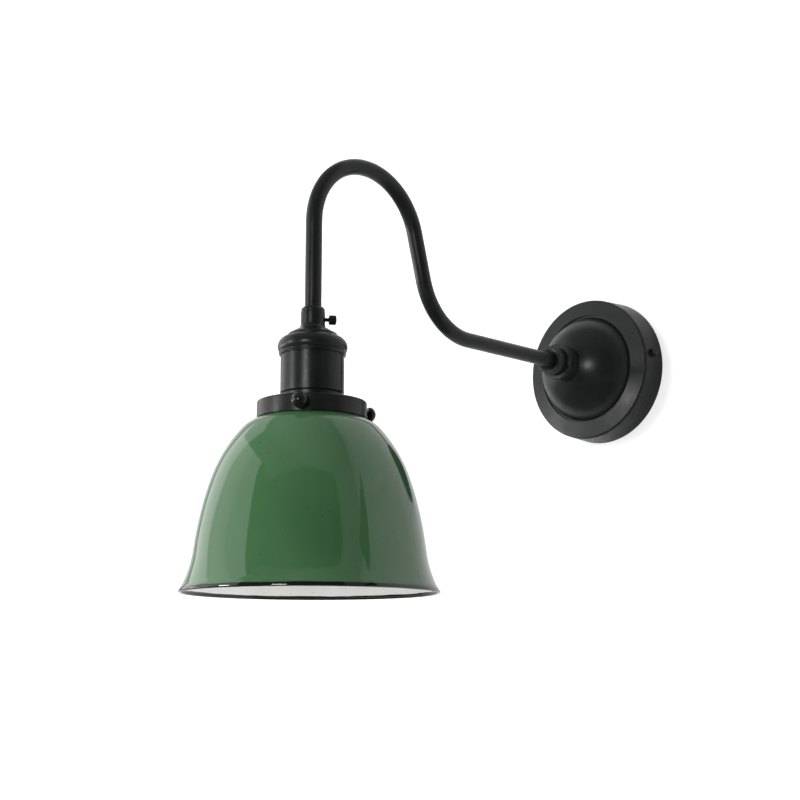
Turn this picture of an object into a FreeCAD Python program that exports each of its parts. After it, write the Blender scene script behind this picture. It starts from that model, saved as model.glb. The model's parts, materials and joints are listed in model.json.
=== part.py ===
"""Gooseneck wall light: wall canopy, bent arm, lampholder and bell shade, as separate pieces.

Millimetres. The wall is the plane Y = 0 and the light stands out from it towards -Y, with Z up.
The origin is the middle of the wall bracket's back face. Turned pieces are drawn as outlines of
(radius, height) points and set on one of two axes: the wall axis, which runs out from the wall
along -Y, and the lamp axis, which is upright at the end of the arm.
"""

import FreeCAD, Part
import math
import os

from FreeCAD import Placement, Rotation, Vector

# ---- wall canopy --------------------------------------------------------------------------
canopy_diameter = 124.0  # at the wall
canopy_draft = 1.4  # how much smaller the front edge's radius is
canopy_depth = 24.0  # wall to the front edge
canopy_sheet = 1.0
canopy_edge_radius = 0.7
edge_groove_width = 1.2
edge_groove_depth = 0.5
ring_rise = 1.7  # the flat ring stands this much further out at the dome than at its edge
dome_radius = 47.9
dome_centre_depth = 9.1
dome_flat_radius = 15.6  # seat for the arm's collar
dome_groove_width = 1.8
dome_groove_depth = 1.4
canopy_screw_tilt = 6.6  # degrees that the bracket line stands above level on its right
canopy_screw_depth = 12.5

# ---- wall bracket -------------------------------------------------------------------------
bracket_thickness = 2.0
bracket_width = 22.0
ear_width = 16.0
ear_beyond_screw = 5.0
ear_edge_gap = 0.4
ear_notch = 4.0  # length of the narrowed stretch beside each ear
cable_hole_radius = 8.0
wall_screw_circle = 88.0
wall_hole_radius = 2.6
earth_screw_place = -24.0

# ---- arm ----------------------------------------------------------------------------------
reach = 344.0  # wall to lamp axis
tube_diameter = 12.0
tube_wall = 1.0
riser_angle = 74.6  # degrees above level
lower_bend_radius = 52.6
riser_length = 37.1
arch_radius = 53.2
neck_insertion = 13.2

# ---- arm collar and its fixing ------------------------------------------------------------
collar_foot_radius = 14.9
collar_foot_length = 9.7
collar_flange_overhang = 0.6
collar_flange_thickness = 3.3
collar_flange_chamfer = 0.7
collar_barrel_wall = 5.7
collar_barrel_length = 9.3
collar_barrel_chamfer = 0.9
collar_web = 3.2
collar_recess_depth = 2.0
collar_recess_width = 3.2
nipple_wall = 1.45
nipple_in_tube = 14.5
nipple_past_nut = 1.5
washer_thickness = 0.8
washer_width = 3.8
washer_notch_count = 12
washer_notch_radius = 1.0
nut_across_flats = 17.0
nut_thickness = 5.0

# ---- lampholder cap, heights down from the arm's level line -------------------------------
cap_drop = 3.8
neck_wall = 2.65
neck_length = 12.4
neck_top_step = 1.6
neck_top_height = 4.4
neck_top_round = 1.0
neck_top_ease = 0.2
neck_top_taper = 1.4  # length of the straight taper that ends the rounded top
flare_edge_width = 9.0  # out from the neck
flare_height = 7.4
flare_edge_step = 1.1
flare_start = 0.7  # how far out the hollow below the neck is at its start
flare_start_share = 0.3  # of the flare's height
flare_waist = 2.6
flare_edge_round = 1.2
flare_edge_rise = 0.7
flare_edge_side = 0.6
flare_corner = 0.3
flare_corner_rise = 0.1
step_drop = 0.8
shoulder_drop = 9.0
shoulder_bulge = 1.25
shoulder_crown_inset = 1.5
shoulder_crown_rise = 4.1
shoulder_foot = 3.6
under_inset = 0.2  # the shoulder's underside, which curls in to the lip
under_drop = 1.7
under_end = 0.5
under_end_rise = 0.3
lip_wall = 1.05
lip_height = 2.6
lip_bead = 0.3
lip_bead_end = 0.7
cap_wall = 1.5
cap_neck_inset = 1.0  # the inside's corner below the neck, in from the neck's outside
cap_thread_relief = 1.0

# ---- lampholder sleeve, gallery and ring --------------------------------------------------
sleeve_radius = 22.5
sleeve_wall = 1.2
sleeve_length = 40.9
sleeve_foot_length = 6.5
sleeve_foot_depth = 1.0
sleeve_ledge = 2.0
stub_step = 3.0
stub_wall = 1.2
stub_length = 8.0
gallery_radius = 38.7
gallery_height = 12.0
gallery_sheet = 1.0
gallery_corner_radius = 1.2
boss_radius = 4.2
boss_reach = 2.2
ring_width = 5.5
ring_height = 5.0
ring_chamfer = 0.8
ring_notch_count = 8
ring_notch_radius = 1.6

# ---- insert, contacts and terminals -------------------------------------------------------
insert_below_flare = 5.2
insert_flange_thickness = 2.8
insert_flange_inset = 0.2
insert_side_gap = 0.2
insert_step_drop = 27.2
insert_step_height = 3.0
insert_foot_gap = 0.7
insert_well_depth = 9.0
well_gap = 1.8
socket_roof_drop = 21.2
cavity_gap = 0.55
shell_radius = 13.3  # inside, the thread's wall
shell_wall = 0.45
shell_length = 28.5
shell_crown_height = 4.0  # the end above the thread, which cones in
shell_crown_inset = 0.45
shell_opening_radius = 7.5
contact_strip_width = 5.0
contact_strip_thickness = 0.5
contact_strip_end = 1.9  # past its screw
contact_pad_end = 3.0  # past the lamp axis
contact_bend = 2.6  # from the screw to the strip's bend
contact_lean = 0.9
contact_drop = 4.0
contact_screw_radius = 1.5
contact_head_radius = 2.3
contact_head_height = 1.4
contact_screw_live = 4.4
terminal_length = 8.0
terminal_width = 7.0
terminal_height = 6.0
terminal_edge = 2.3  # from the contact screw to the terminal's near end
terminal_entry = 3.5  # from the contact screw to the lead's hole
terminal_entry_depth = 3.5
terminal_screw_drop = 2.2
terminal_screw_radius = 1.25
terminal_head_radius = 2.0
contact_screw_cover = 1.4  # brass left above the contact screw's hole

# ---- leads --------------------------------------------------------------------------------
lead_radius = 1.2
lead_spacing = 3.0
lead_tail_gap = 2.0
tail_straight = 3.0
lead_rise = 10.0  # height of a lead's first bend above the block
lead_bare_gap = 3.0  # from the block's edge to the lead's end inside its tube
bush_flange_thickness = 1.0
bush_flange_inset = 0.2
bush_length = 6.0
bush_wall = 1.65

# ---- terminal block -----------------------------------------------------------------------
block_start = 11.0
block_pitch = 8.0
block_margin = 4.5
block_width = 16.0
block_height = 13.0
block_corner_radius = 1.0
block_tube_radius = 2.5
block_tube_bore = 1.5
block_tube_length = 14.0
block_screw_radius = 1.3
block_screw_well = 0.7  # radial room round a clamp screw
block_screw_spread = 4.5
block_screw_sink = 0.6
block_fixing_radius = 1.4
fixing_head_radius = 2.6
fixing_head_height = 1.8

# ---- earth lug ----------------------------------------------------------------------------
lug_ring_width = 0.6  # past the earth screw's head
lug_tongue_width = 3.2
lug_tongue_length = 5.0
lug_barrel_start = 2.5
lug_barrel_length = 5.0
lug_barrel_wall = 0.7
ground_head_height = 2.4

# ---- thumb screws and small screws --------------------------------------------------------
gallery_screw_angles = {"front": -53.5, "right": 66.5, "rear": 186.5}
gallery_screw_radius = 1.95
gallery_knob_radius = 5.4
gallery_knob_length = 6.0
gallery_knob_rim = 1.2
gallery_knob_band = 2.4
gallery_neck_radius = 3.0
gallery_neck_length = 1.8
gallery_neck_waist = 0.5
gallery_tip_gap = 0.3
gallery_knob_gap = 1.2
neck_screw_angle = 55.0
neck_screw_rise = 3.9  # above the neck's foot
neck_screw_radius = 1.5
neck_knob_radius = 3.5
neck_knob_length = 5.3
neck_knob_chamfer = 0.9
neck_knob_gap = 2.6
side_screw_radius = 1.95
side_screw_length = 11.0
side_head_radius = 3.5
side_head_height = 2.8
slot_width = 0.8
head_round = 0.5
small_slot_width = 0.6
small_head_round = 0.3

# ---- shade --------------------------------------------------------------------------------
shade_wall = 1.2
shade_neck_gap = 4.1  # inside the gallery's skirt
shade_neck_drop = 3.1  # below the gallery's top
shade_lip_radius = 0.9
shade_lip_overhang = 0.5
shade_neck_fillet = 5.0
shoulder_slope = 19.5  # degrees below level where the shoulder leaves the gallery
shoulder_inset = 0.6  # inside the skirt's outer face
shoulder_clearance = 0.5  # below the skirt's edge
shade_bends = (  # (radius, degrees turned): three ever gentler bends down, then the flare
    (27.0, -29.3),
    (101.4, -22.9),
    (246.0, -11.7),
    (74.8, 22.5),
)
rim_bead_radius = 1.15

# ---- clearances ---------------------------------------------------------------------------
running = 0.05  # radial, a turning or sliding fit
thread_play = 0.05  # radial, between a plainly drawn thread and its hole
free_hole = 0.25  # radial, a screw through a clearance hole
lead_play = 0.1  # between a clamp screw's tip, or a lug, and the lead

ORIGIN = Vector(0, 0, 0)
UP = Vector(0, 0, 1)
SIDEWAYS = Vector(1, 0, 0)
ACROSS = Vector(0, 1, 0)
WALL_AXIS = Placement(ORIGIN, Rotation(Vector(1, 0, 0), 90))
LAMP_AXIS = Placement(Vector(0, -reach, 0), Rotation())
TILT = Placement(ORIGIN, Rotation(ACROSS, -canopy_screw_tilt))
BEND_SHARE = 0.45  # of the shorter run beside a lead's bend


# ---- drawing helpers ----------------------------------------------------------------------
def arc(start, via, end):
    return Part.Arc(start, via, end).toShape()


def line(start, end):
    return Part.LineSegment(start, end).toShape()


def outline(start, *steps):
    """Closed face of (radius, height) points; a step of two points is an arc: via, end."""
    edges = []
    here = Vector(start[0], 0, start[1])
    first = here
    for step in steps:
        if isinstance(step[0], tuple):
            via, end = (Vector(r, 0, h) for r, h in step)
            edges.append(arc(here, via, end))
        else:
            end = Vector(step[0], 0, step[1])
            edges.append(line(here, end))
        here = end
    edges.append(line(here, first))
    return Part.Face(Part.Wire(edges))


def turned(start, *steps):
    """Solid of revolution about Z of an outline."""
    return outline(start, *steps).revolve(ORIGIN, UP, 360)


def tube(outer, inner, low, high):
    return turned((inner, low), (outer, low), (outer, high), (inner, high))


def rod(radius, low, high, x=0.0, y=0.0):
    return Part.makeCylinder(radius, high - low, Vector(x, y, low), UP)


def block(x0, x1, y0, y1, z0, z1):
    return Part.makeBox(x1 - x0, y1 - y0, z1 - z0, Vector(x0, y0, z0))


def placed(shape, placement):
    moved = shape.copy()
    moved.Placement = placement.multiply(moved.Placement)
    return moved


def on_wall(shape):
    return placed(shape, WALL_AXIS)


def on_lamp(shape):
    return placed(shape, LAMP_AXIS)


def along(shape, angle, height):
    """Sets a piece drawn along Z on a level line out from the lamp axis."""
    turn = Rotation(UP, angle).multiply(Rotation(ACROSS, 90))
    return placed(shape, Placement(Vector(0, -reach, height), turn))


def cross_bar(radius, start, length, x, z, direction):
    """Cylinder along a level direction, from the point start along it."""
    base = Vector(x, 0, z) + direction * start
    return Part.makeCylinder(radius, length, base, direction)


def corner_point(radius, height, rounding):
    """Middle of a quarter-round outer corner that ends a rise at (radius, height)."""
    inset = rounding * (1 - math.cos(math.radians(45)))
    return (radius - inset, height - inset)


def crown_point(rim_radius, base, rise):
    """Middle of the half outline of a spherical crown that stands on a rim."""
    sphere = (rim_radius**2 + rise**2) / (2 * rise)
    half = math.asin(rim_radius / sphere) / 2
    return (sphere * math.sin(half), base + rise - sphere * (1 - math.cos(half)))


def tilted(shape):
    """Turns a piece with the bracket line, which isn't quite level."""
    return placed(shape, TILT)


def walk(here, heading, moves):
    """Joints of a line of straights and tangent arcs, as (via, end) pairs of (x, y, heading).

    A move is (length,) or (radius, degrees), where positive degrees turn to the left.
    """
    x, y = here
    joints = []
    for move in moves:
        if len(move) == 1:
            x += move[0] * math.cos(heading)
            y += move[0] * math.sin(heading)
            joints.append((None, (x, y, heading)))
            continue
        side = math.copysign(move[0], move[1])
        turn = math.radians(move[1])
        stops = []
        for part in (turn / 2, turn):
            ahead = heading + part
            stops.append((
                x + side * (math.sin(ahead) - math.sin(heading)),
                y - side * (math.cos(ahead) - math.cos(heading)),
                ahead,
            ))
        x, y, heading = stops[1]
        joints.append(tuple(stops))
    return joints


def filleted(points):
    """Edges of a route whose corners are arcs as large as their two runs allow."""
    edges = []
    here = points[0]
    for before, corner, after in zip(points, points[1:], points[2:]):
        come = (corner - before).normalize()
        go = (after - corner).normalize()
        run = min((corner - before).Length, (after - corner).Length)
        setback = BEND_SHARE * run
        half = come.getAngle(go) / 2
        radius = setback / math.tan(half)
        start = corner - come * setback
        end = corner + go * setback
        centre = corner + (go - come).normalize() * (radius / math.cos(half))
        middle = centre + (corner - centre).normalize() * radius
        edges.append(line(here, start))
        edges.append(arc(start, middle, end))
        here = end
    edges.append(line(here, points[-1]))
    return edges


def swept(edges, radius, bore=0.0):
    """Round bar or tube along connected tangent edges."""
    start = edges[0].valueAt(edges[0].FirstParameter)
    heading = edges[0].tangentAt(edges[0].FirstParameter)
    section = Part.Face(Part.Wire(Part.makeCircle(radius, start, heading)))
    if bore:
        section = section.cut(Part.Face(Part.Wire(Part.makeCircle(bore, start, heading)))).Faces[0]
    return Part.Wire(edges).makePipe(section)


def screw(shank_radius, shank_length, head_radius, head_height, slot=slot_width, soft=head_round):
    """Slotted screw along Z: the head stands on Z = 0 and the shank hangs below it."""
    body = turned(
        (0, -shank_length),
        (shank_radius, -shank_length),
        (shank_radius, 0),
        (head_radius, 0),
        (head_radius, head_height - soft),
        (corner_point(head_radius, head_height, soft), (head_radius - soft, head_height)),
        (0, head_height),
    )
    groove = block(-head_radius, head_radius, -slot / 2, slot / 2, head_height - slot, head_height)
    return body.cut(groove)


def small_screw(shank_radius, shank_length, head_radius):
    """The lampholder's screws, with a low head."""
    return screw(
        shank_radius, shank_length, head_radius, contact_head_height, small_slot_width, small_head_round
    )


# ---- derived sizes ------------------------------------------------------------------------
canopy_radius = canopy_diameter / 2
canopy_front_radius = canopy_radius - canopy_draft
dome_top = dome_centre_depth + math.sqrt(dome_radius**2 - dome_flat_radius**2)
dome_roof = dome_top - canopy_sheet
ear_length = canopy_screw_depth + ear_beyond_screw

tube_radius = tube_diameter / 2
tube_bore = tube_radius - tube_wall
tube_hole = tube_radius + running
nipple_radius = tube_bore - running
nipple_bore = nipple_radius - nipple_wall
collar_barrel_radius = tube_hole + collar_barrel_wall
collar_flange_back = dome_top + collar_foot_length
collar_flange_face = collar_flange_back + collar_flange_thickness
collar_web_face = dome_top + collar_web
collar_front = collar_flange_face + collar_barrel_length
washer_radius = nipple_radius + free_hole + washer_width

cap_top = -cap_drop
neck_radius = tube_hole + neck_wall
neck_foot = cap_top - neck_length
flare_edge_radius = neck_radius + flare_edge_width
flare_edge = neck_foot - flare_height
shoulder = flare_edge - shoulder_drop
lip_top = shoulder - shoulder_foot
cap_bottom = lip_top - lip_height
cap_bore = sleeve_radius + thread_play
lip_radius = cap_bore + lip_wall
shoulder_radius = lip_radius + shoulder_bulge
tube_end = cap_top - neck_insertion
neck_screw_height = neck_foot + neck_screw_rise

insert_top = flare_edge - insert_below_flare
sleeve_top = insert_top - insert_flange_thickness
sleeve_bore = sleeve_radius - sleeve_wall
gallery_top = sleeve_top - sleeve_length
gallery_floor = gallery_top - gallery_height
gallery_inside = gallery_radius - gallery_sheet
gallery_screw_height = (gallery_top + gallery_floor) / 2
boss_face = gallery_inside - boss_reach
stub_radius = sleeve_radius - stub_step
stub_bore = stub_radius - stub_wall
stub_bottom = gallery_top - stub_length
ring_radius = stub_radius + ring_width
shade_neck_radius = gallery_inside - shade_neck_gap
shade_neck_top = gallery_top - shade_neck_drop
shoulder_start_radius = gallery_radius - shoulder_inset
shoulder_start_height = gallery_floor - shoulder_clearance

socket_roof = insert_top - socket_roof_drop
contact_screw_neutral = -(shell_opening_radius + shell_radius) / 2
live_entry = contact_screw_live + terminal_entry
neutral_entry = contact_screw_neutral + terminal_entry
well_radius = math.hypot(contact_screw_neutral - terminal_edge, terminal_width / 2) + well_gap
well_floor = insert_top - insert_well_depth
terminal_top = well_floor + terminal_height
bush_bore = tube_bore - running - bush_wall
lead_end = tube_end - bush_flange_thickness - lead_tail_gap

block_poles = [block_start + block_margin + block_pitch * n for n in range(3)]
block_end = block_poles[-1] + block_margin
block_middle = bracket_thickness + block_height / 2
block_top = bracket_thickness + block_height
fixing_place = (block_poles[0] + block_poles[1]) / 2
clamp_places = [(x, y) for x in block_poles for y in (-block_screw_spread, block_screw_spread)]
lug_top = bracket_thickness + canopy_sheet
lug_barrel_height = lug_top + lead_radius + lead_play


def canopy_side(depth):
    """Outside radius of the canopy's drum at a depth."""
    return canopy_radius - canopy_draft * depth / canopy_depth


def chord(radius, width):
    """Distance out to a flat of the given width that just fits inside a circle."""
    return math.sqrt(radius**2 - (width / 2) ** 2)


ear_face = chord(canopy_side(ear_length) - canopy_sheet - ear_edge_gap, ear_width)


# ---- wall side ----------------------------------------------------------------------------
def make_wall_bracket():
    """Crossbar with two folded ears, drawn with depth up and then stood against the wall."""
    half = bracket_width / 2
    ear_half = ear_width / 2
    bar = block(-ear_face, ear_face, -half, half, 0, bracket_thickness)
    for side in (-1, 1):
        inner, outer = sorted((side * ear_face, side * (ear_face - bracket_thickness)))
        bar = bar.fuse(block(inner, outer, -ear_half, ear_half, 0, ear_length))
        x0, x1 = sorted((side * (ear_face - ear_notch), side * ear_face))
        for y0, y1 in ((-half, -ear_half), (ear_half, half)):
            bar = bar.cut(block(x0, x1, y0, y1, 0, bracket_thickness))
        bar = bar.cut(rod(wall_hole_radius, 0, bracket_thickness, side * wall_screw_circle / 2))
    bar = bar.cut(rod(cable_hole_radius, 0, bracket_thickness))
    bar = bar.cut(rod(side_screw_radius + thread_play, 0, bracket_thickness, earth_screw_place))
    bar = bar.cut(rod(block_fixing_radius + thread_play, 0, bracket_thickness, fixing_place))
    thread = cross_bar(
        side_screw_radius + thread_play, -canopy_radius, canopy_diameter, 0, canopy_screw_depth, SIDEWAYS
    )
    return tilted(on_wall(bar.cut(thread).removeSplitter()))


def make_canopy():
    """Pressed shell: tapered drum, groove behind its edge, dished ring, groove and dome."""
    foot_depth = canopy_depth + ring_rise - dome_groove_depth
    inner_dome = dome_radius - canopy_sheet
    pressed_depth = foot_depth - canopy_sheet
    ring_back = canopy_depth - canopy_sheet

    def out(radius, depth):
        return math.sqrt(radius**2 - (depth - dome_centre_depth) ** 2)

    def dome_middle(radius):
        slant = math.radians(45)
        return (radius * math.cos(slant), dome_centre_depth + radius * math.sin(slant))

    foot = out(dome_radius, foot_depth)
    ring_inside = foot + dome_groove_width
    groove_back = ring_back - edge_groove_width
    shell = turned(
        (canopy_radius, 0),
        (canopy_side(groove_back), groove_back),
        (canopy_side(groove_back) - edge_groove_depth, groove_back + edge_groove_depth),
        (canopy_side(ring_back) - edge_groove_depth, ring_back - edge_groove_depth / 2),
        (canopy_front_radius, ring_back + edge_groove_depth / 2),
        (
            corner_point(canopy_front_radius, canopy_depth, canopy_edge_radius),
            (canopy_front_radius - canopy_edge_radius, canopy_depth),
        ),
        (ring_inside, canopy_depth + ring_rise),
        (ring_inside, foot_depth),
        (foot, foot_depth),
        (dome_middle(dome_radius), (dome_flat_radius, dome_top)),
        (nipple_radius + free_hole, dome_top),
        (nipple_radius + free_hole, dome_roof),
        (out(inner_dome, dome_roof), dome_roof),
        (dome_middle(inner_dome), (out(inner_dome, pressed_depth), pressed_depth)),
        (ring_inside + canopy_sheet, pressed_depth),
        (ring_inside + canopy_sheet, ring_back + ring_rise - canopy_sheet / 2),
        (canopy_side(ring_back) - canopy_sheet, ring_back),
        (canopy_radius - canopy_sheet, 0),
    )
    drill = cross_bar(
        side_screw_radius + free_hole, -canopy_radius, canopy_diameter, 0, canopy_screw_depth, SIDEWAYS
    )
    return tilted(on_wall(shell.cut(drill)))


def make_canopy_side_screws():
    """The heads rest on the drum's outermost point round the hole."""
    screws = []
    for side in (-1, 1):
        one = screw(side_screw_radius, side_screw_length, side_head_radius, side_head_height)
        seat = canopy_side(canopy_screw_depth - side_head_radius) + running
        base = Vector(side * seat, -canopy_screw_depth, 0)
        screws.append(tilted(placed(one, Placement(base, Rotation(ACROSS, 90 * side)))))
    return Part.makeCompound(screws)


def make_ground_screw():
    """Ends flush with the bracket's back, so that the bracket lies flat on the wall."""
    one = screw(side_screw_radius, lug_top, side_head_radius, ground_head_height)
    return tilted(on_wall(placed(one, Placement(Vector(earth_screw_place, 0, lug_top), Rotation()))))


def make_earth_lug():
    """Ring tongue under the earth screw, with a barrel that points up for the lead."""
    low = bracket_thickness
    start = side_head_radius + lug_barrel_start
    half = lug_tongue_width / 2
    tongue_end = side_head_radius + lug_tongue_length
    ring = tube(side_head_radius + lug_ring_width, side_screw_radius + free_hole, low, lug_top)
    tongue = block(-half, half, side_head_radius, tongue_end, low, lug_top)
    barrel = cross_bar(
        lead_radius + lug_barrel_wall, start, lug_barrel_length, 0, lug_barrel_height, ACROSS
    )
    bore = cross_bar(lead_radius + running, start, lug_barrel_length, 0, lug_barrel_height, ACROSS)
    plate = block(-canopy_radius, canopy_radius, -canopy_radius, canopy_radius, 0, low)
    lug = ring.fuse(tongue).fuse(barrel).cut(bore).cut(plate).removeSplitter()
    return tilted(on_wall(placed(lug, Placement(Vector(earth_screw_place, 0, 0), Rotation()))))


def make_terminal_block():
    """Moulded body with a channel for each pole and a well down to each clamp screw."""
    half = block_width / 2
    body = block(block_start, block_end, -half, half, bracket_thickness, block_top)
    upright = [e for e in body.Edges if abs(e.tangentAt(e.FirstParameter).z) > 0.9]
    body = body.makeFillet(block_corner_radius, upright)
    for x in block_poles:
        channel = block_tube_radius + running
        body = body.cut(cross_bar(channel, -half, block_width, x, block_middle, ACROSS))
    for x, y in clamp_places:
        body = body.cut(rod(block_screw_radius + block_screw_well, block_middle, block_top, x, y))
    body = body.cut(rod(block_fixing_radius + free_hole, bracket_thickness, block_top, fixing_place))
    return tilted(on_wall(body))


def make_terminal_tubes():
    half = block_tube_length / 2
    tubes = []
    for x in block_poles:
        one = cross_bar(block_tube_radius, -half, block_tube_length, x, block_middle, ACROSS)
        one = one.cut(cross_bar(block_tube_bore, -half, block_tube_length, x, block_middle, ACROSS))
        for y in (-block_screw_spread, block_screw_spread):
            hole = block_screw_radius + thread_play
            one = one.cut(rod(hole, block_middle, block_middle + block_tube_radius, x, y))
        tubes.append(tilted(on_wall(one)))
    return Part.makeCompound(tubes)


def make_terminal_clamp_screws():
    top = block_top - block_screw_sink
    tip = block_middle + lead_radius + lead_play
    half = small_slot_width / 2
    screws = []
    for x, y in clamp_places:
        grub = rod(block_screw_radius, tip, top, x, y)
        slot = block(
            x - block_screw_radius, x + block_screw_radius, y - half, y + half, top - slot_width, top
        )
        screws.append(tilted(on_wall(grub.cut(slot))))
    return Part.makeCompound(screws)


def make_block_fixing_screw():
    one = screw(block_fixing_radius, block_top, fixing_head_radius, fixing_head_height)
    return tilted(on_wall(placed(one, Placement(Vector(fixing_place, 0, block_top), Rotation()))))


def make_arm_collar():
    """Thick foot on the dome with a rim, and a barrel round the tube, coned in at its mouth."""
    flange = collar_foot_radius + collar_flange_overhang
    chamfer = collar_flange_chamfer
    mouth = collar_barrel_chamfer
    collar = turned(
        (nipple_radius + thread_play, dome_top),
        (collar_foot_radius, dome_top),
        (collar_foot_radius, collar_flange_back),
        (flange, collar_flange_back + collar_flange_overhang),
        (flange, collar_flange_face - chamfer),
        (corner_point(flange, collar_flange_face, chamfer), (flange - chamfer, collar_flange_face)),
        (collar_barrel_radius, collar_flange_face),
        (collar_barrel_radius, collar_front - mouth),
        (
            corner_point(collar_barrel_radius, collar_front, mouth),
            (collar_barrel_radius - mouth, collar_front),
        ),
        (tube_hole + collar_recess_width, collar_front),
        (tube_hole, collar_front - collar_recess_depth),
        (tube_hole, collar_web_face),
        (nipple_radius + thread_play, collar_web_face),
    )
    return on_wall(collar)


def make_threaded_nipple():
    start = dome_roof - washer_thickness - nut_thickness - nipple_past_nut
    return on_wall(tube(nipple_radius, nipple_bore, start, collar_web_face + nipple_in_tube))


def make_lock_washer():
    """Toothed washer: the teeth are notches round its rim."""
    low = dome_roof - washer_thickness
    washer = tube(washer_radius, nipple_radius + free_hole, low, dome_roof)
    for n in range(washer_notch_count):
        angle = 2 * math.pi * n / washer_notch_count
        x = washer_radius * math.cos(angle)
        y = washer_radius * math.sin(angle)
        washer = washer.cut(rod(washer_notch_radius, low, dome_roof, x, y))
    return on_wall(washer)


def make_lock_nut():
    high = dome_roof - washer_thickness
    low = high - nut_thickness
    step = math.pi / 3
    corner = nut_across_flats / 2 / math.cos(step / 2)
    corners = [
        Vector(corner * math.cos(step * n), corner * math.sin(step * n), low) for n in range(7)
    ]
    nut = Part.Face(Part.makePolygon(corners)).extrude(Vector(0, 0, nut_thickness))
    return on_wall(nut.cut(rod(nipple_radius + thread_play, low, high)))


# ---- arm ----------------------------------------------------------------------------------
def arm_edges(x, end):
    """Centreline in the plane X = x: level out of the wall, up, over and straight down."""
    rise = math.radians(riser_angle)
    level_end = (
        reach
        - arch_radius * (1 + math.sin(rise))
        - riser_length * math.cos(rise)
        - lower_bend_radius * math.sin(rise)
    )
    arch_foot = (
        lower_bend_radius * (1 - math.cos(rise))
        + riser_length * math.sin(rise)
        - arch_radius * math.cos(rise)
    )
    moves = (
        (level_end - collar_web_face,),
        (lower_bend_radius, riser_angle),
        (riser_length,),
        (arch_radius, -riser_angle - 90),
        (arch_foot - end,),
    )
    here = Vector(x, -collar_web_face, 0)
    edges = []
    for via, stop in walk((collar_web_face, 0.0), 0.0, moves):
        point = Vector(x, -stop[0], stop[1])
        if via:
            edges.append(arc(here, Vector(x, -via[0], via[1]), point))
        else:
            edges.append(line(here, point))
        here = point
    return edges


def make_arm_tube():
    return swept(arm_edges(0.0, tube_end), tube_radius, tube_bore)


def make_wire_bush():
    """Insulating bush pushed into the arm's lower end, so that the edge can't cut the leads."""
    flange = tube_end - bush_flange_thickness
    rim = tube_radius - bush_flange_inset
    return on_lamp(turned(
        (bush_bore, flange),
        (rim, flange),
        (rim, tube_end),
        (tube_bore - running, tube_end),
        (tube_bore - running, tube_end + bush_length),
        (bush_bore, tube_end + bush_length),
    ))


def on_bracket(x, depth, height):
    """Point beside the bracket, turned with it."""
    return TILT.multVec(Vector(x, -depth, height))


def lead_start(pole):
    """Places of a lead's end in the block and of its first corner above it."""
    edge = block_width / 2
    inside = on_bracket(pole, block_middle, edge - lead_bare_gap)
    above = on_bracket(pole, block_middle, edge + lead_rise)
    return inside, above


def make_lamp_lead(pole, x):
    """Lead from its pole, over to the nipple and through the whole arm."""
    inside, above = lead_start(pole)
    route = [
        inside,
        above,
        Vector(0.62 * above.x, -21.0, 21.0),
        Vector(x, -31.0, 10.0),
        Vector(x, -42.0, 0.0),
        Vector(x, -collar_web_face, 0.0),
    ]
    return swept(filleted(route) + arm_edges(x, lead_end), lead_radius)


def make_earth_lead():
    """Short lead from the first pole over to the lug under the earth screw."""
    inside, above = lead_start(block_poles[0])
    over = on_bracket(earth_screw_place, lug_barrel_height, block_width / 2 + lead_rise)
    stop = side_head_radius + lug_barrel_start + lead_play
    lug = on_bracket(earth_screw_place, lug_barrel_height, stop)
    return swept(filleted([inside, above, over, lug]), lead_radius)


# ---- lampholder ---------------------------------------------------------------------------
def make_holder_cap():
    """Neck, flared edge, domed shoulder and beaded lip, bored for the arm and the sleeve."""
    neck_top = neck_radius - neck_top_step
    flare = (neck_radius + flare_waist, neck_foot - flare_height / 2)
    step = flare_edge - flare_edge_step
    bead = (lip_radius + lip_bead, (lip_top + cap_bottom) / 2)
    flange_bore = sleeve_radius - insert_flange_inset + running
    cap = turned(
        (tube_hole, cap_top),
        (neck_top, cap_top),
        (
            (neck_top + neck_top_round, cap_top - neck_top_round),
            (neck_radius - neck_top_ease, cap_top - neck_top_height + neck_top_taper),
        ),
        (neck_radius, cap_top - neck_top_height),
        (neck_radius, neck_foot),
        ((neck_radius + flare_start, neck_foot - flare_start_share * flare_height), flare),
        (flare_edge_radius - flare_edge_round, flare_edge + flare_edge_rise),
        (
            (flare_edge_radius - flare_corner, flare_edge + flare_corner_rise),
            (flare_edge_radius, flare_edge - flare_edge_side),
        ),
        (flare_edge_radius, step),
        (flare_edge_radius + flare_edge_round, step - step_drop),
        (
            (shoulder_radius - shoulder_crown_inset, shoulder + shoulder_crown_rise),
            (shoulder_radius, shoulder),
        ),
        (
            (shoulder_radius - under_inset, shoulder - under_drop),
            (lip_radius + under_end, lip_top + under_end_rise),
        ),
        (lip_radius, lip_top),
        (lip_radius, lip_top - lip_bead_end),
        (bead, (lip_radius, cap_bottom + lip_bead_end)),
        (lip_radius, cap_bottom),
        (cap_bore, cap_bottom),
        (cap_bore, sleeve_top + cap_thread_relief),
        (flange_bore, sleeve_top + cap_thread_relief),
        (flange_bore, insert_top),
        (flare_edge_radius + cap_wall, insert_top),
        (flare_edge_radius, insert_top + cap_wall),
        (neck_radius - cap_neck_inset, neck_foot - 2 * cap_wall),
        (tube_hole, neck_foot - cap_wall),
    )
    drill = rod(neck_screw_radius + thread_play, 0, neck_radius + cap_wall)
    return on_lamp(cap).cut(along(drill, neck_screw_angle, neck_screw_height))


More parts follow.
